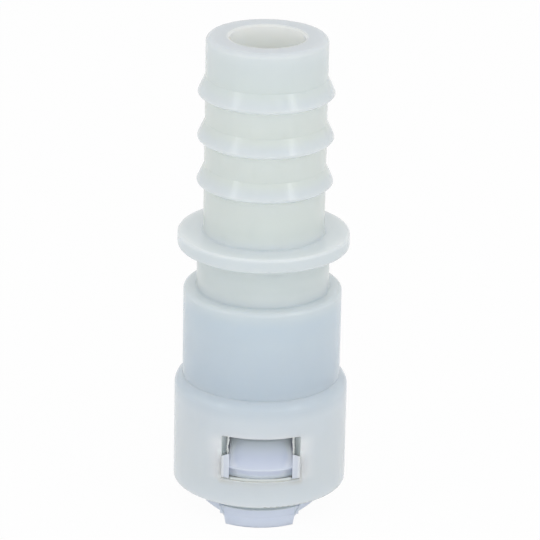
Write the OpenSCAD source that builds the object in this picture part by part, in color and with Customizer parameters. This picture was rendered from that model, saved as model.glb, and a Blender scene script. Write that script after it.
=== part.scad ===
// Push-on coupling with a barbed hose stem, for a smooth beaded spigot.
// Heights in the sections below are measured upward from the mouth of the cage.
// on_tabs() lifts every piece so that the ends of the release tabs stand at z = 0.

/* [Hose stem] */
// Diameter of the hose stem between its barbs
stem_d = 18.6; // [17:0.1:19]
// Diameter over the crests of the barbs
barb_d = 20.8; // [20:0.1:22]
// Number of barbs
barb_count = 3; // [1:1:3]
// Distance from one crest to the next
barb_pitch = 7.04; // [6:0.01:7.3]
// Height of the slope above a crest
barb_slope = 2.6; // [2:0.1:4]
// Height of the steep face below a crest
barb_back = 0.7; // [0.3:0.1:1.5]
// Distance from the end of the stem down to the first crest
first_crest = 8.8; // [7:0.1:10]
// Length of the stem above the stop collar
stem_length = 31; // [30:0.5:40]
// Diameter of the waterway
waterway_d = 11.5; // [8:0.1:13]

/* [Stop collar and neck] */
// Diameter of the stop collar
collar_d = 26.4; // [24:0.1:30]
// Thickness of the stop collar
collar_t = 2.3; // [1.5:0.1:4]
// Diameter of the neck
neck_d = 20.4; // [19:0.1:22]
// Length of the neck
neck_length = 6.8; // [4:0.1:10]

/* [Seal housing] */
// Outer diameter of the seal housing
housing_d = 24.4; // [23.4:0.1:26]
// Height of the top of the seal housing
housing_top = 31.7; // [31:0.1:36]
// Bore that holds the O-rings
gland_d = 18.6; // [18:0.1:19]
// Length of that bore
gland_length = 10.7; // [10.6:0.1:11]
// Cross-section of the O-rings
seal_section = 2.6; // [2.4:0.1:2.6]

/* [Cage] */
// Outer diameter of the cage
cage_d = 26.8; // [26:0.1:28]
// Bore of the cage
cage_bore_d = 22.2; // [22:0.1:22.4]
// Height of the floor of the cage's bore
cage_depth = 15.5; // [15.4:0.1:16]
// Height of the shoulder where the cage meets the seal housing
shoulder_top = 17.5; // [17:0.1:19]
// Radius of the shoulder
shoulder_round = 2; // [1:0.1:2.5]
// Height of the window's sill
sill_height = 4.3; // [4:0.1:4.6]
// Height of the window
window_height = 7.25; // [7:0.05:7.4]
// Angle that the window spans
window_angle = 54.6; // [54:0.2:56]
// Radius of the upper corners of the window
window_corner = 0.4; // [0.1:0.05:0.6]

/* [Spigot] */
// Diameter of the spigot that the coupling takes
spigot_d = 14; // [13.8:0.1:14]
// Radial clearance round the spigot
spigot_clearance = 0.05; // [0.02:0.01:0.1]

/* [Retainer] */
// Outer diameter of the retainer inside the cage
retainer_d = 21.7; // [21.4:0.1:21.7]
// Inner diameter of the latches
latch_bore_d = 17.6; // [17.4:0.1:18]
// Width of a latch across its two flanks
latch_width = 16.5; // [15:0.1:17]
// Slit between a latch and the frame beside it
slit = 0.1; // [0.05:0.05:0.3]
// Distance that the release tabs reach below the mouth
tab_drop = 4.85; // [4:0.05:6]
// Width of a release tab at its end
tab_width = 10.4; // [9:0.1:11]
// Outer diameter of the face of the tabs
tab_face_d = 20; // [19.6:0.1:20.4]
// Width of the finger at its lip
finger_width = 9.9; // [9:0.1:10]
// Width of the finger at its tip
finger_tip_width = 9.4; // [8:0.1:10]
// Diameter of the circle on which the finger tips lie
tip_d = 14.6; // [14.5:0.1:14.8]

/* [Hidden] */
$fn = 128;
eps = 0.01;
nylon = [0.90, 0.92, 0.86];
acetal = [0.86, 0.89, 0.96];
rubber = [0.16, 0.18, 0.22];

// Heights from the mouth
neck_top = housing_top + neck_length;
collar_top = neck_top + collar_t;
stem_top = collar_top + stem_length;
window_top = sill_height + window_height;
gland_top = cage_depth + gland_length;
guide_top = 35;
guide_cone = 0.8;

// Small roundings of the moulded body
stem_round = 0.8;
bore_round = 0.3;
crest_round = 0.3;
collar_round = 0.4;
housing_round = 0.6;
rim_round = 0.25;
corner_fillet = 0.3;
mouth_chamfer = 0.3;
gland_chamfer = 0.35;

// Seal pack, from the bush upward
bush_flange = 1.4;
bush_sleeve = 3.1;
bush_lead = 1.2;
flange_d = 21.8;
fit_gap = 0.05;
pack_gap = 0.1;
spacer_t = 1.8;
bush_bottom = cage_depth - bush_flange;
bush_top = cage_depth + bush_sleeve;
guide_r = spigot_d / 2 + spigot_clearance;
seal_r = gland_d / 2 - seal_section / 2 - 0.02;
outer_seal_z = bush_top + pack_gap + seal_section / 2;
spacer_bottom = outer_seal_z + seal_section / 2 + pack_gap;
inner_seal_z = spacer_bottom + spacer_t + pack_gap + seal_section / 2;

// Retainer
ring_bottom = 11.6;
ring_bore_d = 17;
post_drop = 1.3;
latch_lead = 1;
foot_lift = 0.05;
side_clearance = 0.04;
flank_drop = 2.7;
flank_edge_drop = 1.9;
flank_toe = 0.5;
flank_r = 10.2;
tab_root = 0.7;
tab_draft = 0.2;
pad_top = 1.76;
pad_top_r = 10.35;
groove_r = 10;
groove_top = 0.3;
groove_slope = 0.06;
recess_width = 13.8;
recess_foot = 0.1;
face_shift = 4.3;
face_curve_r = 12.5;
foot_r = 12.4;
foot_toe_r = 12.15;
foot_toe = 0.12;
lug_r = 13.3;
lug_foot_r = 12.6;
lug_low = 4.6;
lug_top = 9.17;
lug_slant = 17;
lug_lean = 25;
lug_lap = 0.07;
lip_r = 13.2;
lip_bottom = 6.05;
lip_top = 6.3;
finger_top = 10.3;
finger_back = 9.5;
finger_back_r = 9.77;
finger_crown_r = 8.3;
finger_corner = 0.8;
tip_inner = 9.35;
strut_base = 7.08;

// Seen from the front: the height where a flank ends, and where the root of the tab begins
toe_drop = flank_drop + flank_toe;
tab_x = tab_width / 2;
tab_top_x = tab_x + tab_draft;
root_x = tab_top_x + tab_root;

module on_tabs() {
    translate([0, 0, tab_drop]) children();
}

// Half section of a disc from the axis out to r, with both outer corners rounded
module disc_section(r, low, high, low_round, high_round) {
    translate([0, low + low_round]) square([r, high - low - low_round - high_round]);
    translate([0, low]) square([r - low_round, low_round + eps]);
    translate([0, high - high_round - eps]) square([r - high_round, high_round + eps]);
    translate([r - low_round, low + low_round]) circle(low_round);
    translate([r - high_round, high - high_round]) circle(high_round);
}

// Fills the inner corner at [r, z] on the side given by turn
module corner_section(r, z, size, turn) {
    translate([r, z]) mirror([0, turn]) difference() {
        translate([-size, -size]) square(2 * size);
        translate([size, size]) circle(size);
        translate([size, -2 * size]) square(4 * size);
        translate([-2 * size, size]) square(4 * size);
    }
}

// Where a line from a point touches a circle; side is 1 or -1
function touch(from, centre, r, side) =
    let (run = centre - from, far = norm(run), bend = side * asin(r / far),
         reach = sqrt(far * far - r * r) / far)
    from + reach * [run.x * cos(bend) - run.y * sin(bend), run.x * sin(bend) + run.y * cos(bend)];

// One barb, with its crest at height 0: a long slope above, a steep face below
module barb_section() {
    stem_r = stem_d / 2;
    crest = [barb_d / 2 - crest_round, crest_round / 2];
    foot = [stem_r, -barb_back];
    head = [stem_r, barb_slope];
    polygon([
        foot - [1, 0], foot, touch(foot, crest, crest_round, -1),
        touch(head, crest, crest_round, 1), head, head - [1, 0]
    ]);
    translate(crest) circle(crest_round);
}

module body_outline() {
    disc_section(cage_d / 2, 0, shoulder_top, rim_round, shoulder_round);
    disc_section(housing_d / 2, 1, housing_top, corner_fillet, housing_round);
    disc_section(collar_d / 2, neck_top, collar_top, collar_round, collar_round);
    disc_section(stem_d / 2, collar_top - 1, stem_top, corner_fillet, stem_round);
    translate([0, housing_top - 1]) square([neck_d / 2, neck_length + 2]);
    corner_section(neck_d / 2, housing_top, corner_fillet, 0);
    corner_section(stem_d / 2, collar_top, corner_fillet, 0);
    for (i = [0:barb_count - 1]) {
        translate([0, stem_top - first_crest - i * barb_pitch]) barb_section();
    }
}

module bore_outline() {
    cage_r = cage_bore_d / 2;
    gland_r = gland_d / 2;
    way_r = waterway_d / 2;
    guide_end = guide_top + guide_cone;
    polygon([
        [0, -1], [cage_r + mouth_chamfer, -1], [cage_r + mouth_chamfer, 0], [cage_r, mouth_chamfer],
        [cage_r, cage_depth], [gland_r + gland_chamfer, cage_depth],
        [gland_r, cage_depth + gland_chamfer], [gland_r, gland_top], [guide_r, gland_top],
        [guide_r, guide_top], [way_r, guide_end], [way_r, stem_top - bore_round],
        [way_r + bore_round, stem_top], [way_r + bore_round, stem_top + 1], [0, stem_top + 1]
    ]);
}

// A slice of everything within half of the given angle either side of -Y
module front_wedge(angle, low, high) {
    reach = cage_d;
    half = angle / 2;
    translate([0, 0, low]) linear_extrude(high - low)
        polygon([[0, 0], [-reach * sin(half), -reach * cos(half)], [reach * sin(half), -reach * cos(half)]]);
}

// The rounded corner at the top of one side of the window
module window_corner_fill(side) {
    size = window_corner;
    mirror([side < 0 ? 1 : 0, 0, 0]) rotate([0, 0, window_angle / 2])
        translate([0, -cage_d, window_top]) difference() {
            translate([-size, cage_d / 4, -size]) cube([2 * size, cage_d / 2, 2 * size]);
            translate([-size, cage_d, -size]) rotate([90, 0, 0]) cylinder(h = cage_d, r = size);
        }
}

module window() {
    difference() {
        front_wedge(window_angle, sill_height, window_top);
        for (side = [-1, 1]) {
            window_corner_fill(side);
        }
        cylinder(h = cage_d, d = cage_bore_d - 1);
    }
}

module fitting_body() {
    color(nylon) on_tabs() difference() {
        rotate_extrude() difference() {
            body_outline();
            bore_outline();
        }
        window();
        rotate([0, 0, 180]) window();
    }
}

module o_ring(z) {
    color(rubber) on_tabs() translate([0, 0, z])
        rotate_extrude() translate([seal_r, 0]) circle(d = seal_section);
}

module inner_seal() {
    o_ring(inner_seal_z);
}

module outer_seal() {
    o_ring(outer_seal_z);
}

module seal_spacer() {
    color(acetal) on_tabs() translate([0, 0, spacer_bottom]) difference() {
        cylinder(h = spacer_t, d = gland_d - 2 * fit_gap);
        translate([0, 0, -1]) cylinder(h = spacer_t + 2, r = guide_r + fit_gap);
    }
}

// Top-hat bush: its flange sits on the floor of the cage, its sleeve holds the O-rings in
module seal_bush() {
    sleeve_r = gland_d / 2 - fit_gap;
    color(acetal) on_tabs() rotate_extrude() polygon([
        [guide_r + bush_lead, bush_bottom], [flange_d / 2, bush_bottom], [flange_d / 2, cage_depth],
        [sleeve_r, cage_depth], [sleeve_r, bush_top], [guide_r, bush_top],
        [guide_r, bush_bottom + bush_lead]
    ]);
}

// Fixed part of the retainer: the ring under the bush and a post down each side
module retainer_frame() {
    outer_r = retainer_d / 2;
    post_x = latch_width / 2 + slit;
    color(acetal) on_tabs() difference() {
        translate([0, 0, -post_drop]) cylinder(h = bush_bottom + post_drop, r = outer_r);
        translate([0, 0, -post_drop - 1]) cylinder(h = bush_bottom + post_drop + 2, d = ring_bore_d);
        translate([0, 0, -post_drop - 1])
            cylinder(h = ring_bottom + post_drop + 1 - latch_lead, d = latch_bore_d);
        translate([0, 0, ring_bottom - latch_lead])
            cylinder(h = latch_lead, d1 = latch_bore_d, d2 = ring_bore_d);
        translate([-post_x, -cage_d, -post_drop - 1])
            cube([2 * post_x, 2 * cage_d, ring_bottom + post_drop + 1]);
    }
}

// Radial section of a latch: tab, shell and foot from below, and the bevelled crown of the finger
module latch_section() {
    bore_r = latch_bore_d / 2;
    shell_r = retainer_d / 2;
    wide_r = cage_d / 2;
    foot_z = sill_height + foot_lift;
    crown_slope = (finger_top - finger_back) / (finger_back_r - finger_crown_r);
    crown_z = finger_back - (wide_r - finger_back_r) * crown_slope;
    polygon([
        [bore_r, -tab_drop], [flank_r, -tab_drop], [flank_r, -toe_drop], [shell_r, -groove_top],
        [shell_r, foot_z], [wide_r, foot_z], [wide_r, crown_z], [finger_crown_r, finger_top],
        [tip_d / 2, finger_top],
        [tip_d / 2, tip_inner], [bore_r, strut_base]
    ]);
}

// Radial section, about an axis moved forward, that gives the foot and the lip their closer curve
module face_section() {
    wide_r = cage_d / 2;
    foot_z = sill_height + foot_lift;
    polygon([
        [0, -tab_drop - 1], [wide_r, -tab_drop - 1], [wide_r, sill_height],
        [foot_toe_r - face_shift, sill_height], [foot_toe_r - face_shift, foot_z],
        [foot_r - face_shift, foot_z + foot_toe],
        [foot_r - face_shift, lip_bottom - (lip_r - foot_r) / 4], [lip_r - face_shift, lip_bottom],
        [lip_r - face_shift, finger_top + 1], [0, finger_top + 1]
    ]);
}

// Cylinder leaning in with the finger: its front line runs up the middle of the finger's face
module leaning_cylinder() {
    lean = atan2(lip_r - finger_back_r, finger_back - lip_top);
    translate([0, -lip_r, lip_top]) rotate([-lean, 0, 0]) translate([0, face_curve_r, -cage_d])
        cylinder(h = 2 * cage_d, r = face_curve_r);
}

// Radial section of the lugs that fill the window's lower corners
module lug_section() {
    inner_r = retainer_d / 2 - 1;
    polygon([
        [inner_r, sill_height + foot_lift], [lug_foot_r, sill_height + foot_lift], [lug_r, lug_low],
        [lug_r, window_top - 1], [inner_r, window_top - 1]
    ]);
}

// Outline of a latch seen from the front, below the sill: flanks, root fillets and tab
module shell_outline() {
    half = latch_width / 2;
    root_z = -toe_drop - tab_root;
    polygon([
        [-half, -flank_edge_drop], [-root_x, -flank_drop], [-root_x, -toe_drop], [-tab_top_x, -toe_drop],
        [-tab_top_x, root_z], [-tab_x, -tab_drop], [tab_x, -tab_drop], [tab_top_x, root_z],
        [tab_top_x, -toe_drop], [root_x, -toe_drop], [root_x, -flank_drop], [half, -flank_edge_drop],
        [half, sill_height - foot_lift], [-half, sill_height - foot_lift]
    ]);
    for (side = [-1, 1]) {
        difference() {
            translate([side * (tab_top_x + tab_root / 2), root_z + tab_root / 2 + eps])
                square([tab_root, tab_root + 2 * eps], center = true);
            translate([side * root_x, root_z]) circle(tab_root);
        }
    }
}

// Outline of the finger seen from the front, with the corners of its tip rounded
module finger_outline() {
    lip_x = finger_width / 2;
    tip_x = finger_tip_width / 2;
    corner_x = tip_x - finger_corner;
    corner_z = finger_top - finger_corner;
    polygon([
        [-lip_x, 0], [-lip_x, lip_top], [-tip_x, corner_z], [-corner_x, finger_top],
        [corner_x, finger_top], [tip_x, corner_z], [lip_x, lip_top], [lip_x, 0]
    ]);
    for (side = [-1, 1]) {
        translate([side * corner_x, corner_z]) circle(finger_corner);
    }
}

// Extrudes an outline in X and Z backward through the front half of the cage
module through_front() {
    rotate([90, 0, 0]) linear_extrude(cage_d) children();
}

// The lugs, their tops sloping down towards the window's sides and in towards the axis
module lugs() {
    shrink = side_clearance / (cage_bore_d / 2) * 180 / PI * 2;
    inner_x = finger_width / 2 - lug_lap;
    difference() {
        intersection() {
            rotate_extrude() lug_section();
            front_wedge(window_angle - shrink, 0, window_top);
        }
        translate([-inner_x, -cage_d, 0]) cube([2 * inner_x, cage_d, window_top]);
        for (side = [-1, 1]) {
            translate([side * inner_x, -lug_r, lug_top]) rotate([-lug_lean, side * lug_slant, 0])
                translate([-3, -3, 0]) cube([6, 10, 5]);
        }
    }
}

module latch() {
    intersection() {
        rotate_extrude() latch_section();
        through_front() union() {
            shell_outline();
            finger_outline();
        }
        translate([0, -face_shift, 0]) rotate_extrude() face_section();
        union() {
            leaning_cylinder();
            translate([-cage_d, -cage_d, -cage_d]) cube([2 * cage_d, 2 * cage_d, cage_d + lip_bottom]);
        }
    }
    lugs();
}

// Sets the tab back between the two flanks: a groove below the mouth, then the face of the pad
module tab_recess() {
    foot_x = tab_top_x + recess_foot;
    reach = root_x + 1;
    face_r = tab_face_d / 2;
    difference() {
        through_front() polygon([
            [-recess_width / 2, -groove_top], [recess_width / 2, -groove_top], [foot_x, -toe_drop],
            [reach, -toe_drop], [reach, -tab_drop - 1], [-reach, -tab_drop - 1], [-reach, -toe_drop],
            [-foot_x, -toe_drop]
        ]);
        rotate_extrude() polygon([
            [0, -tab_drop - 2], [face_r, -tab_drop - 2], [face_r, -toe_drop], [pad_top_r, -pad_top],
            [groove_r, -pad_top + groove_slope], [groove_r, 0], [0, 0]
        ]);
    }
}

module front_latch() {
    color(acetal) on_tabs() difference() {
        latch();
        tab_recess();
    }
}

module rear_latch() {
    rotate([0, 0, 180]) front_latch();
}

fitting_body();
inner_seal();
seal_spacer();
outer_seal();
seal_bush();
retainer_frame();
front_latch();
rear_latch();
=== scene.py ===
"""Push-on coupling with a barbed hose stem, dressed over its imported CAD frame.

It stands on the ends of its two release tabs. Sizes are in the frame's metres; MM makes them from
millimetres, and a height "from the mouth" starts at the open end of the cage.
"""

import math

import bmesh
import bpy
from mathutils import Matrix, Vector
from mathutils.bvhtree import BVHTree


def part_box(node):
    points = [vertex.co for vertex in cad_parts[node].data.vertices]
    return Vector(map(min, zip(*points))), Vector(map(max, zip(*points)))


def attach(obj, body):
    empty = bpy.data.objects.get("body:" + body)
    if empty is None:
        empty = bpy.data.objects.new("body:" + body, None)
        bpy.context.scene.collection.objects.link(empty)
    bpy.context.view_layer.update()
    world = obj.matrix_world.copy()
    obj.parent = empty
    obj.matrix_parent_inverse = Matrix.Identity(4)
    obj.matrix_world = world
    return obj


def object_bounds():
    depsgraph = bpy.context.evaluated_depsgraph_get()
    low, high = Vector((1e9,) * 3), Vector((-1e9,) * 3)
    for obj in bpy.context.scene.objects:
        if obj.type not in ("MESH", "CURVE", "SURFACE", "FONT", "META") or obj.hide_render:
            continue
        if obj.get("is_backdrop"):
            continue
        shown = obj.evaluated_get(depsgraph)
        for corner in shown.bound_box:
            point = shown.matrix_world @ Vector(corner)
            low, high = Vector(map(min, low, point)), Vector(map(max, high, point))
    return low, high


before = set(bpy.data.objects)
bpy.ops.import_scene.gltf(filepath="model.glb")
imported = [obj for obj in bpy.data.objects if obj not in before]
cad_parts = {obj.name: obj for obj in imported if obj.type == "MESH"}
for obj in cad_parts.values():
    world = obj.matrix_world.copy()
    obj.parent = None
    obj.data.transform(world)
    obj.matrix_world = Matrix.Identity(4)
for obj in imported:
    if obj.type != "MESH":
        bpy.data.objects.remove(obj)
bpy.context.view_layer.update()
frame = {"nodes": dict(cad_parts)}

# ---- Camera -------------------------------------------------------------------------------------
# A long lens a little above the coupling and a touch to its left, as the photograph was taken.
# The aim is a point near the coupling's axis; the small roll is the photograph's own lean.
PHOTO_SIZE = 540
SENSOR_WIDTH_MM = 36
LENS_MM = 245.9
CAMERA_AZIMUTH = -1.32
CAMERA_ELEVATION = 21.16
CAMERA_DISTANCE = 0.5672
CAMERA_ROLL = 1.19
CLIP_START = 0.01
CLIP_END = 20
AIM = Vector((0.00108, 0, 0.0390))

azimuth, elevation = math.radians(CAMERA_AZIMUTH), math.radians(CAMERA_ELEVATION)
to_camera = Vector((math.sin(azimuth) * math.cos(elevation),
                    -math.cos(azimuth) * math.cos(elevation), math.sin(elevation)))
lens = bpy.data.cameras.new("photo_camera")
lens.sensor_fit = "AUTO"
lens.sensor_width = SENSOR_WIDTH_MM
lens.lens = LENS_MM
lens.clip_start = CLIP_START
lens.clip_end = CLIP_END
camera = bpy.data.objects.new("photo_camera", lens)
bpy.context.scene.collection.objects.link(camera)
camera.matrix_world = (Matrix.Translation(AIM + CAMERA_DISTANCE * to_camera)
                       @ (-to_camera).to_track_quat("-Z", "Y").to_matrix().to_4x4()
                       @ Matrix.Rotation(math.radians(CAMERA_ROLL), 4, "Z"))
bpy.context.scene.camera = camera

# Where features show in the photograph, as x, y
FEATURES = {
    "bore_front": (268, 48),
    "first_crest_left": (198, 91.5),
    "first_crest_right": (336.2, 94.5),
    "last_crest_left": (195.9, 180.5),
    "last_crest_right": (332.4, 182),
    "collar_on_stem": (264, 253.3),
    "neck_on_housing": (262, 309.5),
    "window_top_left": (220, 436.5),
    "window_top_right": (300, 437.5),
    "window_bottom_left": (220, 479),
    "window_bottom_right": (300, 480),
    "lip_middle": (260, 471.5),
    "tab_left_corner": (226.3, 523),
    "tab_right_corner": (293.4, 523),
    "window_flash": (227.3, 446),
}


def image_ray(x, y):
    """Start and direction, in the row frame, of the ray through an image point."""
    through = Vector((x - PHOTO_SIZE / 2 + lens.shift_x * PHOTO_SIZE,
                      PHOTO_SIZE / 2 - y + lens.shift_y * PHOTO_SIZE,
                      -PHOTO_SIZE * LENS_MM / SENSOR_WIDTH_MM))
    return camera.matrix_world.translation, (camera.matrix_world.to_3x3() @ through).normalized()


# ---- Body ---------------------------------------------------------------------------------------
# One injection moulding of natural nylon: barbed hose stem, stop collar, neck, seal housing and the
# windowed cage. The CAD solid shows as it is. The plastic is milky, and greyer where the wall is thick
# or the seals lie behind it. Painted shade lies above the cage, under the collar and on its top faces,
# and painted light in its hollows and creases, on the sills and along the windows.
MM = 0.001
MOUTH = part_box("fitting_body")[0].z
SILL = MOUTH + 4.3 * MM
WINDOW_TOP = MOUTH + 11.55 * MM
WINDOW_SIDE = 6.2 * MM
CAGE_TOP = MOUTH + 17.5 * MM
CAGE_R = 13.4 * MM
CAGE_BORE_R = 11.1 * MM
COLLAR_TOP = MOUTH + 40.8 * MM
STEM_R = 9.3 * MM
CREST_R = 10.4 * MM
WATERWAY_R = 5.75 * MM

# Colours up the outside, and up the inside of the cage: (height from the mouth in mm, colour).
# Outside, the grey over the seals is the plastic's own, mixed with painted shade in the crease above
# the cage, under the collar and on the top faces of the housing and stem. Inside, the dark walls are
# painted shade, and the pale sill and lower walls are painted light.
OUTSIDE_TONE_AND_SHADE = [
    (0, (209, 219, 226)), (4, (211, 220, 225)), (10, (211, 220, 226)), (14, (209, 219, 227)),
    (16, (195, 207, 217)), (18.5, (187, 201, 213)), (23, (194, 207, 218)), (26, (197, 210, 220)),
    (29, (196, 209, 219)), (31.6, (200, 210, 215)), (33, (208, 217, 217)), (38, (209, 218, 218)),
    (38.6, (199, 208, 213)), (40.2, (199, 208, 213)), (40.7, (212, 220, 224)), (42, (214, 222, 219)),
    (60, (215, 222, 219)), (66, (212, 220, 220)), (71.3, (206, 214, 217)), (71.8, (205, 212, 218)),
]
INSIDE_SHADE_AND_LIGHT = [
    (0, (190, 198, 192)), (4.25, (236, 237, 224)), (4.45, (236, 237, 224)), (4.7, (226, 231, 230)),
    (7.2, (226, 231, 230)), (7.9, (168, 177, 176)), (11, (165, 174, 174)), (16, (190, 198, 196)),
]


def srgb(red, green, blue):
    """A colour given as 0-255 screen values, for a shader socket."""
    parts = [c / 255 / 12.92 if c <= 10 else ((c / 255 + 0.055) / 1.055) ** 2.4
             for c in (red, green, blue)]
    return (*parts, 1)


def new_material(name):
    """A material with its node tree, its Principled shader and its Object coordinates."""
    material = bpy.data.materials.new(name)
    material.use_nodes = True
    tree = material.node_tree
    place = tree.nodes.new("ShaderNodeTexCoord").outputs["Object"]
    return material, tree, tree.nodes["Principled BSDF"], place


def maths(tree, operation, first, second=0.0):
    """The output of a Math node on two sockets or numbers."""
    node = tree.nodes.new("ShaderNodeMath")
    node.operation = operation
    for socket, value in zip(node.inputs, (first, second)):
        if isinstance(value, bpy.types.NodeSocket):
            tree.links.new(value, socket)
        else:
            socket.default_value = value
    return node.outputs[0]


def product(tree, first, *others):
    """The product of several sockets or numbers."""
    for other in others:
        first = maths(tree, "MULTIPLY", first, other)
    return first


def at_least(tree, value, least):
    """A value from 0 to 1, raised to run from least to 1."""
    return maths(tree, "ADD", product(tree, value, 1 - least), least)


def split_axes(tree, place):
    """The x, y and z of Object coordinates."""
    axes = tree.nodes.new("ShaderNodeSeparateXYZ")
    tree.links.new(place, axes.inputs["Vector"])
    return axes.outputs["X"], axes.outputs["Y"], axes.outputs["Z"]


def from_axis(tree, x, y):
    """How far a place at x and y is from the coupling's axis."""
    across = tree.nodes.new("ShaderNodeCombineXYZ")
    tree.links.new(x, across.inputs["X"])
    tree.links.new(y, across.inputs["Y"])
    length = tree.nodes.new("ShaderNodeVectorMath")
    length.operation = "LENGTH"
    tree.links.new(across.outputs["Vector"], length.inputs[0])
    return length.outputs["Value"]


def fade(tree, value, start, end):
    """0 where the value is at start, 1 at end, smooth between."""
    node = tree.nodes.new("ShaderNodeMapRange")
    node.interpolation_type = "SMOOTHSTEP"
    tree.links.new(value, node.inputs["Value"])
    node.inputs["From Min"].default_value = start
    node.inputs["From Max"].default_value = end
    return node.outputs["Result"]


def blend_colours(tree, factor, below, above):
    """The output of a colour Mix node; its inputs 0, 6 and 7 take sockets, numbers or colours."""
    node = tree.nodes.new("ShaderNodeMix")
    node.data_type = "RGBA"
    for index, value in ((0, factor), (6, below), (7, above)):
        if isinstance(value, bpy.types.NodeSocket):
            tree.links.new(value, node.inputs[index])
        else:
            node.inputs[index].default_value = value
    return node.outputs[2]


def tint(tree, base, *tints):
    """A colour with tints laid over it in turn; each is (how much of it, its 0-255 colour)."""
    for factor, colour in tints:
        base = blend_colours(tree, factor, base, srgb(*colour))
    return base


def height_ramp(tree, height, stops):
    """Colours against height; stops are (height from the mouth in mm, colour), lowest first."""
    low, high = MOUTH + stops[0][0] * MM, MOUTH + stops[-1][0] * MM
    level = tree.nodes.new("ShaderNodeMapRange")
    level.inputs["From Min"].default_value = low
    level.inputs["From Max"].default_value = high
    tree.links.new(height, level.inputs["Value"])
    ramp = tree.nodes.new("ShaderNodeValToRGB")
    for _ in stops[2:]:
        ramp.color_ramp.elements.new(0.5)
    for element, (at, colour) in zip(ramp.color_ramp.elements, stops):
        element.position = (MOUTH + at * MM - low) / (high - low)
        element.color = srgb(*colour)
    tree.links.new(level.outputs["Result"], ramp.inputs["Fac"])
    return ramp.outputs["Color"]


def noise(tree, coordinates, scale, detail=3.0, stretch=(1, 1, 1)):
    """Noise at a scale in features per metre, drawn out along an axis by stretch."""
    mapping = tree.nodes.new("ShaderNodeMapping")
    mapping.inputs["Scale"].default_value = stretch
    texture = tree.nodes.new("ShaderNodeTexNoise")
    texture.inputs["Scale"].default_value = scale
    texture.inputs["Detail"].default_value = detail
    tree.links.new(coordinates, mapping.inputs["Vector"])
    tree.links.new(mapping.outputs["Vector"], texture.inputs["Vector"])
    return texture.outputs["Fac"]


def roughen(tree, shader, specks, least, spread):
    """Roughness that runs from least to least plus spread with a pattern of specks."""
    varied = maths(tree, "ADD", product(tree, specks, spread), least)
    tree.links.new(varied, shader.inputs["Roughness"])


def emboss(tree, shader, grain, strength, depth):
    """A bump, its depth in metres, from a pattern of grain."""
    bump = tree.nodes.new("ShaderNodeBump")
    bump.inputs["Strength"].default_value = strength
    bump.inputs["Distance"].default_value = depth
    tree.links.new(grain, bump.inputs["Height"])
    tree.links.new(bump.outputs["Normal"], shader.inputs["Normal"])


def make_milky(shader, ior, share, depth, reach):
    """Lets a share of the light in: how deep it goes, and how far its red, green and blue reach."""
    shader.inputs["IOR"].default_value = ior
    shader.inputs["Subsurface Weight"].default_value = share
    shader.inputs["Subsurface Scale"].default_value = depth
    shader.inputs["Subsurface Radius"].default_value = reach


def dress(material, *names):
    """Gives CAD nodes a material in place of their plain one."""
    for name in names:
        materials = frame["nodes"][name].data.materials
        materials.clear()
        materials.append(material)


nylon, tree, shader, place = new_material("natural_nylon")
x, y, height = split_axes(tree, place)
sideways = maths(tree, "ABSOLUTE", x)
radius = from_axis(tree, x, y)

# Painted shade makes the barbs greyer than the stem, painted light makes the waterway paler, and the
# inside of the cage has painted shade on its walls and painted light on its sill
on_stem = fade(tree, height, COLLAR_TOP, COLLAR_TOP + 0.5 * MM)
barb_shade = fade(tree, radius, STEM_R + 0.05 * MM, CREST_R - 0.2 * MM)
waterway_light = fade(tree, radius, WATERWAY_R + 0.6 * MM, WATERWAY_R)
in_cage = product(tree, fade(tree, radius, CAGE_R - 0.02 * MM, CAGE_R - 0.12 * MM),
                  fade(tree, height, CAGE_TOP - 1.4 * MM, CAGE_TOP - 2 * MM))
skin = tint(tree, height_ramp(tree, height, OUTSIDE_TONE_AND_SHADE),
            (product(tree, barb_shade, on_stem), (208, 216, 220)),
            (product(tree, waterway_light, on_stem), (238, 242, 239)))
skin = blend_colours(tree, in_cage, skin, height_ramp(tree, height, INSIDE_SHADE_AND_LIGHT))

# The sill has a painted creamy glow, most in its corners. The upright edges of the window and the cage
# beside the lugs of the latch have painted light, standing in for light that comes through them.
short_of_side = fade(tree, sideways, WINDOW_SIDE + 0.6 * MM, WINDOW_SIDE)
by_corner = product(tree, fade(tree, sideways, 3.4 * MM, 5.6 * MM), short_of_side)
sill_glow = product(tree, fade(tree, height, SILL - 1.1 * MM, SILL),
                  fade(tree, height, SILL + 0.5 * MM, SILL + 0.1 * MM), short_of_side)
window_rim_light = product(tree, fade(tree, sideways, WINDOW_SIDE + 2.6 * MM, WINDOW_SIDE + 0.2 * MM),
                     fade(tree, sideways, WINDOW_SIDE - 0.3 * MM, WINDOW_SIDE),
                     fade(tree, height, WINDOW_TOP + 0.6 * MM, WINDOW_TOP - 1.4 * MM),
                     fade(tree, height, SILL - 0.6 * MM, SILL + 0.4 * MM))
beside_lug_light = product(tree, fade(tree, sideways, WINDOW_SIDE + 0.7 * MM, WINDOW_SIDE + 0.05 * MM),
                     fade(tree, radius, CAGE_R - 0.3 * MM, CAGE_R - 0.1 * MM),
                     fade(tree, height, MOUTH + 9.5 * MM, MOUTH + 8.7 * MM),
                     fade(tree, height, SILL - 0.3 * MM, SILL + 0.4 * MM))
cloud = noise(tree, place, scale=260, detail=4)
skin = tint(tree, skin,
            (product(tree, sill_glow, at_least(tree, by_corner, 0.4)), (206, 210, 207)),
            (product(tree, window_rim_light, 0.6), (238, 243, 246)),
            (beside_lug_light, (242, 255, 255)),
            (product(tree, cloud, 0.06), (236, 240, 236)))

# Painted light in the creases, where the occlusion finds them, in place of the light that thick milky
# plastic carries into them
open_air = tree.nodes.new("ShaderNodeAmbientOcclusion")
open_air.only_local = True
open_air.samples = 8
open_air.inputs["Distance"].default_value = 2.5 * MM
crease_light = maths(tree, "SUBTRACT", 1.0, open_air.outputs["AO"])
tree.links.new(tint(tree, skin, (crease_light, (240, 245, 247))), shader.inputs["Base Color"])

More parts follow.
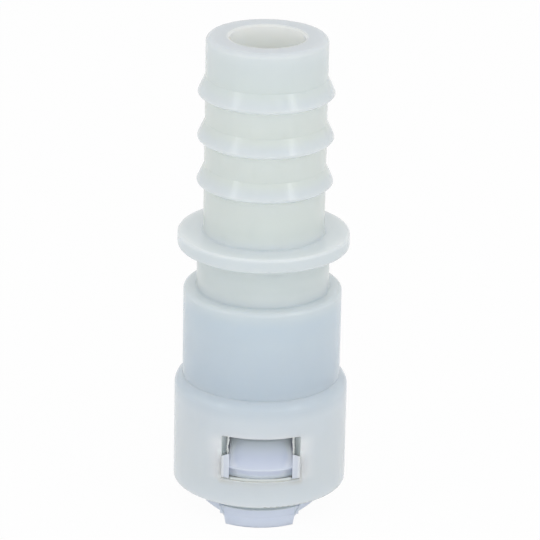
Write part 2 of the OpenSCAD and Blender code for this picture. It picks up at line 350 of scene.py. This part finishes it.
roughen(tree, shader, noise(tree, place, scale=900), least=0.19, spread=0.06)
grain = maths(tree, "ADD", noise(tree, place, scale=700, detail=4),
              noise(tree, place, scale=220, detail=2, stretch=(1, 1, 0.2)))
emboss(tree, shader, grain, strength=0.06, depth=0.05 * MM)
make_milky(shader, ior=1.43, share=1, depth=6 * MM, reach=(1, 0.97, 0.9))
dress(nylon, "fitting_body")

body = frame["nodes"]["fitting_body"].data
body_form = BVHTree.FromPolygons([vert.co.copy() for vert in body.vertices],
                                 [list(polygon.vertices) for polygon in body.polygons])

# ---- Window flash -------------------------------------------------------------------------------
# A ragged thread of the same nylon, left along the upright edges of both windows, where the core of
# the mould met the slides that shut the windows off. Nobody trims it. One bump on it shows in front.
FLASH_R = 0.2 * MM
FLASH_OUT = 0.12 * MM
FLASH_LEAN = 0.05
FLASH_FOOT = MOUTH + 7.2 * MM
FLASH_TOP = WINDOW_TOP - 0.1 * MM
FLASH_RINGS = 36
FLASH_SIDES = 8
FLASH_SWELLS = ((0.1, 31, 2), (0.08, 67, 1))
FLASH_WANDERS = ((0.02 * MM, 13, 3), (0.01 * MM, 41, 0))
BUMP_OUT = 0.14 * MM
BUMP_REACH = 0.4 * MM


def waves(along, number, sizes):
    """Sine waves along a thread of a number; each is (size, rate, shift from thread to thread)."""
    return sum(size * math.sin(rate * along + shift * number) for size, rate, shift in sizes)


def taper(from_end, blunt, rate):
    """How thick a thread is at a distance from its end: blunt at the end, then up to 1."""
    return min(1, blunt + rate * from_end)


def finished_piece(name, form, material):
    """A smooth object, in one material, from a finished bmesh."""
    mesh = bpy.data.meshes.new(name)
    form.to_mesh(mesh)
    form.free()
    mesh.materials.append(material)
    for polygon in mesh.polygons:
        polygon.use_smooth = True
    piece = bpy.data.objects.new(name, mesh)
    bpy.context.scene.collection.objects.link(piece)
    return piece


# Paler than the body because it is thin, but a shade darker where it lies on the sill
thin_nylon, tree, shader, place = new_material("thin_nylon")
height = split_axes(tree, place)[2]
film = blend_colours(tree, noise(tree, place, scale=900), srgb(240, 244, 240), srgb(250, 252, 250))
on_sill = fade(tree, height, SILL + 0.7 * MM, SILL + 0.5 * MM)
tree.links.new(tint(tree, film, (on_sill, (212, 218, 217))), shader.inputs["Base Color"])
shader.inputs["Roughness"].default_value = 0.35

start, along = image_ray(*FEATURES["window_flash"])
bump = body_form.ray_cast(start, along)[0] or body_form.find_nearest(start + along * CAMERA_DISTANCE)[0]
edge_turn = abs(math.atan2(bump.x, -bump.y))
flash_height = FLASH_TOP - FLASH_FOOT
form = bmesh.new()
for number, turn in enumerate((-edge_turn, edge_turn, math.pi - edge_turn, math.pi + edge_turn)):
    thread = bmesh.ops.create_cone(form, cap_ends=True, segments=FLASH_SIDES, radius1=FLASH_R,
                                   radius2=FLASH_R, depth=flash_height)["verts"]
    bmesh.ops.translate(form, verts=thread, vec=(0, 0, (FLASH_TOP + FLASH_FOOT) / 2))
    for ring in range(1, FLASH_RINGS):
        level = FLASH_FOOT + flash_height * ring / FLASH_RINGS
        faces = {face for vert in thread for face in vert.link_faces}
        edges = {edge for face in faces for edge in face.edges}
        cut = bmesh.ops.bisect_plane(form, geom=[*thread, *edges, *faces], plane_co=(0, 0, level),
                                     plane_no=(0, 0, 1))["geom_cut"]
        thread += [item for item in cut if isinstance(item, bmesh.types.BMVert)]
    for vert in thread:
        high = (vert.co.z - FLASH_FOOT) / flash_height
        end = taper(min(high, 1 - high), blunt=0.25, rate=5)
        swell = end * (1 + waves(high, number, FLASH_SWELLS))
        wander = waves(high, number, FLASH_WANDERS)
        if number == 0:
            wander -= BUMP_OUT * math.exp(-((vert.co.z - bump.z) / BUMP_REACH) ** 2)
        inwards = FLASH_LEAN * (vert.co.z - FLASH_FOOT) * (1 if number in (0, 2) else -1)
        vert.co.x = vert.co.x * swell + wander + inwards
        vert.co.y = vert.co.y * swell - CAGE_BORE_R - FLASH_OUT
    bmesh.ops.rotate(form, verts=thread, matrix=Matrix.Rotation(turn, 3, "Z"))
bmesh.ops.recalc_face_normals(form, faces=form.faces)
flash = finished_piece("window_flash", form, thin_nylon)
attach(flash, "housing")

# ---- Sill flash ---------------------------------------------------------------------------------
# A low bead of the same nylon along both sills, just outside the feet of the latches, where the
# foot of each slide met the cage. It is moulded with the body and catches the light as a pale line.
BEAD_R = 0.16 * MM
BEAD_TALL = 1.45
BEAD_REACH = 12.9 * MM
BEAD_HALF = 4.85 * MM
BEAD_LEVEL = SILL + 0.18 * MM
BEAD_STEPS = 32
BEAD_SIDES = 10
BEAD_SWELLS = ((0.1, 9, 0), (0.06, 23, 0))

half_turn = math.asin(BEAD_HALF / BEAD_REACH)
form = bmesh.new()
profile = bmesh.ops.create_circle(form, cap_ends=True, segments=BEAD_SIDES, radius=BEAD_R)["verts"]
bmesh.ops.rotate(form, verts=profile, matrix=Matrix.Rotation(math.pi / 2, 3, "Y"))
bmesh.ops.translate(form, verts=profile, vec=(0, -BEAD_REACH, BEAD_LEVEL))
bmesh.ops.rotate(form, verts=profile, matrix=Matrix.Rotation(-half_turn, 3, "Z"))
bmesh.ops.spin(form, geom=[*form.verts, *form.edges, *form.faces], cent=(0, 0, 0), axis=(0, 0, 1),
               angle=2 * half_turn, steps=BEAD_STEPS)
for vert in form.verts:
    along = math.atan2(vert.co.x, -vert.co.y) / half_turn
    swell = taper(1 - abs(along), blunt=0.3, rate=14) * (1 + waves(along, 0, BEAD_SWELLS))
    reach = math.hypot(vert.co.x, vert.co.y)
    pull = (BEAD_REACH + (reach - BEAD_REACH) * swell) / reach
    rise = (vert.co.z - BEAD_LEVEL) * swell * BEAD_TALL
    vert.co = (vert.co.x * pull, vert.co.y * pull, BEAD_LEVEL + rise)
rear = bmesh.ops.duplicate(form, geom=[*form.verts, *form.edges, *form.faces])["geom"]
bmesh.ops.rotate(form, verts=[item for item in rear if isinstance(item, bmesh.types.BMVert)],
                 matrix=Matrix.Rotation(math.pi, 3, "Z"))
bmesh.ops.recalc_face_normals(form, faces=form.faces)
# Spin makes its faces in any order; sorted by where they are, they come out the same in each run
by_place = sorted(form.faces, key=lambda face: tuple(face.calc_center_median()))
for number, face in enumerate(by_place):
    face.index = number
form.faces.sort()
bead = finished_piece("sill_flash", form, thin_nylon)
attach(bead, "housing")

# ---- Retainer -----------------------------------------------------------------------------------
# A snap-in basket of white acetal: a ring and posts that stay put, and two latches, each with a
# release tab below the mouth, lugs in the window's corners and a finger leaning in behind the bead.
TAB_SIDE = 5.4 * MM
PAD_TOP = MOUTH - 1.75 * MM
LUG_FOOT_R = 12.6 * MM
LIP_TOP = MOUTH + 6.3 * MM
FINGER_SIDE = 4.95 * MM
FINGER_TOP = MOUTH + 10.3 * MM

acetal, tree, shader, place = new_material("white_acetal")
x, y, height = split_axes(tree, place)
sideways = maths(tree, "ABSOLUTE", x)
radius = from_axis(tree, x, y)
above_mouth = fade(tree, height, MOUTH + 3 * MM, MOUTH + 4 * MM)
above_lip = fade(tree, height, LIP_TOP, LIP_TOP + 0.3 * MM)
not_lug = fade(tree, radius, LUG_FOOT_R + 0.3 * MM, LUG_FOOT_R)

# In the window, painted light and shade: a greenish painted shade on the finger towards its corners
# and its top, painted light along its sides, grey lugs with painted light on their flanks, painted
# light on the foot just above the bead, and painted shade on the crown
slope = product(tree, maths(tree, "SUBTRACT", height, LIP_TOP + 0.3 * MM), 0.6)
to_corner = fade(tree, maths(tree, "ADD", sideways, slope),
                 FINGER_SIDE - 0.4 * MM, FINGER_SIDE + 0.5 * MM)
to_top = fade(tree, height, FINGER_TOP - 2.9 * MM, FINGER_TOP - 0.1 * MM)
greenish_shade = product(tree, maths(tree, "MAXIMUM", to_corner, to_top), not_lug, above_lip)
narrowing = product(tree, maths(tree, "SUBTRACT", height, LIP_TOP + 0.7 * MM), 0.35)
at_side = fade(tree, maths(tree, "SUBTRACT", sideways, narrowing),
               FINGER_SIDE - 1.55 * MM, FINGER_SIDE - 0.35 * MM)
lit_through = product(tree, at_side, not_lug, at_least(tree, above_lip, 0.8), above_mouth)
on_lug = product(tree, maths(tree, "SUBTRACT", 1.0, not_lug), above_mouth,
                 fade(tree, sideways, FINGER_SIDE - 0.05 * MM, FINGER_SIDE + 0.1 * MM))
lug_flank_light = product(tree, on_lug, fade(tree, sideways, WINDOW_SIDE - 0.7 * MM, WINDOW_SIDE - 0.2 * MM))
foot_light = product(tree, fade(tree, height, SILL + 1 * MM, SILL + 0.4 * MM), not_lug, above_mouth)
crown_shade = product(tree, fade(tree, height, FINGER_TOP - 0.5 * MM, FINGER_TOP - 0.35 * MM), not_lug)

# Under the mouth: painted shadow in the groove, and painted light on the edge of the recess and on the
# pad that a fingertip presses
groove_shadow = product(tree, fade(tree, height, MOUTH + 0.3 * MM, MOUTH - 0.3 * MM),
                    fade(tree, sideways, TAB_SIDE + 0.6 * MM, TAB_SIDE + 0.2 * MM))
recess_edge_light = product(tree, fade(tree, sideways, TAB_SIDE + 0.05 * MM, TAB_SIDE + 0.25 * MM),
                    fade(tree, sideways, TAB_SIDE + 0.95 * MM, TAB_SIDE + 0.75 * MM),
                    fade(tree, height, MOUTH - 0.3 * MM, MOUTH - 0.6 * MM))
pad_light = product(tree, fade(tree, height, PAD_TOP + 0.2 * MM, PAD_TOP - 0.2 * MM),
                 fade(tree, sideways, TAB_SIDE + 0.2 * MM, TAB_SIDE))

cloud = noise(tree, place, scale=300)
tone = blend_colours(tree, product(tree, cloud, 0.1), srgb(208, 216, 233), srgb(214, 221, 236))
# Over the acetal's own cloudy white go the lugs' grey and the painted light and shade of the window and
# under the mouth
tone = tint(tree, tone,
            (greenish_shade, (219, 227, 232)),
            (lit_through, (228, 233, 243)),
            (on_lug, (206, 213, 225)),
            (lug_flank_light, (240, 245, 252)),
            (groove_shadow, (197, 206, 208)),
            (recess_edge_light, (216, 224, 237)),
            (pad_light, (213, 221, 238)),
            (foot_light, (230, 239, 250)),
            (crown_shade, (190, 198, 202)))
tree.links.new(tone, shader.inputs["Base Color"])
roughen(tree, shader, noise(tree, place, scale=1100), least=0.29, spread=0.1)
emboss(tree, shader, noise(tree, place, scale=800, detail=4), strength=0.1, depth=0.04 * MM)
make_milky(shader, ior=1.48, share=0.6, depth=2 * MM, reach=(1, 0.97, 0.94))
dress(acetal, "retainer_frame", "front_latch", "rear_latch")

# ---- Seals --------------------------------------------------------------------------------------
# Two rubber O-rings in the gland with a plastic spacer between them, held in by the top-hat bush.
# The spacer and the bush are of the retainer's acetal.
rubber, tree, shader, place = new_material("seal_rubber")
speckle = blend_colours(tree, noise(tree, place, scale=1500), srgb(38, 42, 50), srgb(52, 56, 64))
tree.links.new(speckle, shader.inputs["Base Color"])
shader.inputs["Roughness"].default_value = 0.55
dress(rubber, "inner_seal", "outer_seal")
dress(acetal, "seal_spacer", "seal_bush")

# ---- Studio -------------------------------------------------------------------------------------
# A white floor that keeps the shadow, a white surround, and two soft boxes at the front left and
# right, about level with where they glint on the barbs. A large one in front, which leaves no glint,
# fills the shadows.
bpy.context.scene.view_settings.view_transform = "Standard"
SURROUND = 0.69
FLOOR_R = 6
FLOOR_SIDES = 96
FLOOR_GLOW = 0.96
LAMP_DISTANCE = 0.9
LAMP_TURNS = (-55, 49)
LAMP_POWERS = (0.75, 0.92)
LAMP_ELEVATION = 20
LAMP_WIDTH = 0.12
LAMP_HEIGHT = 0.5
FILL_DISTANCE = 1.3
FILL_ELEVATION = 28
FILL_POWER = 3
FILL_SIZE = 0.9


def seen_or_reflected(tree):
    """1 for camera, glossy and transmission rays, 0 for the rays that light the object."""
    path = tree.nodes.new("ShaderNodeLightPath")
    either = maths(tree, "MAXIMUM", path.outputs["Is Camera Ray"], path.outputs["Is Glossy Ray"])
    return maths(tree, "MAXIMUM", either, path.outputs["Is Transmission Ray"])


def soft_box(name, turn, rise, distance, power, width, tall):
    """A soft box that looks at the coupling from an azimuth and an elevation in degrees."""
    lamp = bpy.data.lights.new(name, "AREA")
    lamp.shape = "RECTANGLE"
    lamp.size = width
    lamp.size_y = tall
    lamp.energy = power
    box = bpy.data.objects.new(name, lamp)
    bpy.context.scene.collection.objects.link(box)
    turn, rise = math.radians(turn), math.radians(rise)
    towards = Vector((math.sin(turn) * math.cos(rise), -math.cos(turn) * math.cos(rise), math.sin(rise)))
    box.matrix_world = (Matrix.Translation(AIM + distance * towards)
                        @ (-towards).to_track_quat("-Z", "Y").to_matrix().to_4x4())
    return box


world = bpy.data.worlds.new("studio")
bpy.context.scene.world = world
world.use_nodes = True
tree = world.node_tree
tree.nodes.clear()
lighting, backdrop = (tree.nodes.new("ShaderNodeBackground") for _ in range(2))
lighting.inputs["Color"].default_value = (1, 1, 1, 1)
lighting.inputs["Strength"].default_value = SURROUND
backdrop.inputs["Color"].default_value = (1, 1, 1, 1)
choice = tree.nodes.new("ShaderNodeMixShader")
surface = tree.nodes.new("ShaderNodeOutputWorld")
tree.links.new(seen_or_reflected(tree), choice.inputs[0])
tree.links.new(lighting.outputs[0], choice.inputs[1])
tree.links.new(backdrop.outputs[0], choice.inputs[2])
tree.links.new(choice.outputs[0], surface.inputs[0])

# The paper glows white to the camera, is matte to the lamps, and is clear from below
paper = bpy.data.materials.new("white_paper")
paper.use_nodes = True
tree = paper.node_tree
tree.nodes.clear()
matte, glow, clear = (tree.nodes.new(kind) for kind in
                      ("ShaderNodeBsdfDiffuse", "ShaderNodeEmission", "ShaderNodeBsdfTransparent"))
matte.inputs["Color"].default_value = srgb(250, 250, 250)
part_lit, whole = (tree.nodes.new("ShaderNodeMixShader") for _ in range(2))
geometry = tree.nodes.new("ShaderNodeNewGeometry")
surface = tree.nodes.new("ShaderNodeOutputMaterial")
tree.links.new(product(tree, seen_or_reflected(tree), FLOOR_GLOW), part_lit.inputs[0])
tree.links.new(matte.outputs[0], part_lit.inputs[1])
tree.links.new(glow.outputs[0], part_lit.inputs[2])
tree.links.new(geometry.outputs["Backfacing"], whole.inputs[0])
tree.links.new(part_lit.outputs[0], whole.inputs[1])
tree.links.new(clear.outputs[0], whole.inputs[2])
tree.links.new(whole.outputs[0], surface.inputs["Surface"])

form = bmesh.new()
bmesh.ops.create_circle(form, cap_ends=True, segments=FLOOR_SIDES, radius=FLOOR_R)
floor = finished_piece("floor", form, paper)
floor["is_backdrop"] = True

for turn, power in zip(LAMP_TURNS, LAMP_POWERS):
    soft_box("side_box", turn + CAMERA_AZIMUTH, LAMP_ELEVATION, LAMP_DISTANCE,
             power, LAMP_WIDTH, LAMP_HEIGHT)
fill = soft_box("front_fill", CAMERA_AZIMUTH, FILL_ELEVATION, FILL_DISTANCE,
                FILL_POWER, FILL_SIZE, FILL_SIZE)
fill.visible_glossy = False

# ---- Check points -------------------------------------------------------------------------------
# Where each feature shows in the render, by finished vertices of its own zone that nothing stands in
# front of. A zone is a piece, its heights from the mouth and radii in mm, and which x and y of what
# shows are taken. The bounds of the whole object are taken last.
ZONES = {
    "bore_front": ("fitting_body", (71.7, 71.9), (6, 6.1), "middle", "low"),
    "first_crest_left": ("fitting_body", (63, 63.3), (10.3, 10.5), "left", "beside"),
    "first_crest_right": ("fitting_body", (63, 63.3), (10.3, 10.5), "right", "beside"),
    "last_crest_left": ("fitting_body", (49, 49.3), (10.3, 10.5), "left", "beside"),
    "last_crest_right": ("fitting_body", (49, 49.3), (10.3, 10.5), "right", "beside"),
    "collar_on_stem": ("fitting_body", (40.7, 41.2), (9.25, 9.7), "middle", "low"),
    "neck_on_housing": ("fitting_body", (31.6, 32.1), (10.15, 10.6), "middle", "low"),
    "window_top_left": ("fitting_body", (11.1, 11.6), (13.3, 13.5), "left", "high"),
    "window_top_right": ("fitting_body", (11.1, 11.6), (13.3, 13.5), "right", "high"),
    "window_bottom_left": ("fitting_body", (4.2, 4.4), (13.3, 13.5), "left", "high"),
    "window_bottom_right": ("fitting_body", (4.2, 4.4), (13.3, 13.5), "right", "high"),
    "lip_middle": ("front_latch", (6, 6.1), (12, 13.3), "middle", "low"),
    "tab_left_corner": ("front_latch", (-4.9, -4.8), (9.9, 10.3), "left", "high"),
    "tab_right_corner": ("front_latch", (-4.9, -4.8), (9.9, 10.3), "right", "high"),
    "window_flash": ("window_flash", (8.7, 9.5), (11, 11.6), "left", "middle"),
}
STAND_OFF = 0.03 * MM

from_camera = camera.matrix_world.inverted()
shown_pieces = {**frame["nodes"], "window_flash": flash, "sill_flash": bead}
form = bmesh.new()
for piece in shown_pieces.values():
    form.from_mesh(piece.data)
all_forms = BVHTree.FromBMesh(form)
form.free()


def seen_at(place):
    """The image point at which a place in the row frame lies."""
    sideways, upwards, backwards = from_camera @ place
    scale = PHOTO_SIZE * LENS_MM / SENSOR_WIDTH_MM / -backwards
    return PHOTO_SIZE / 2 + sideways * scale, PHOTO_SIZE / 2 - upwards * scale


def shows(place):
    """Whether nothing stands between a place on a surface and the camera."""
    towards = (camera.matrix_world.translation - place).normalized()
    return all_forms.ray_cast(place + STAND_OFF * towards, towards)[0] is None


def in_zone(place, heights, radii):
    """Whether a place lies between the heights from the mouth and the radii, given in mm."""
    level, reach = (place.z - MOUTH) / MM, math.hypot(place.x, place.y) / MM
    return heights[0] <= level <= heights[1] and radii[0] <= reach <= radii[1]


def chosen(points, side, level):
    """The x on one side, and the y at one level, of the image points of a zone."""
    by_x, by_y = sorted(points), sorted(y for _, y in points)
    xs = {"left": by_x[0][0], "right": by_x[-1][0], "middle": (by_x[0][0] + by_x[-1][0]) / 2}
    beside = by_x[0 if side == "left" else -1][1]
    ys = {"high": by_y[0], "low": by_y[-1], "middle": (by_y[0] + by_y[-1]) / 2, "beside": beside}
    return xs[side], ys[level]


for name, (piece, heights, radii, side, level) in ZONES.items():
    places = [vert.co for vert in shown_pieces[piece].data.vertices if in_zone(vert.co, heights, radii)]
    shown = [seen_at(place) for place in places if shows(place)]
    if shown:
        x, y = chosen(shown, side, level)

low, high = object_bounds()
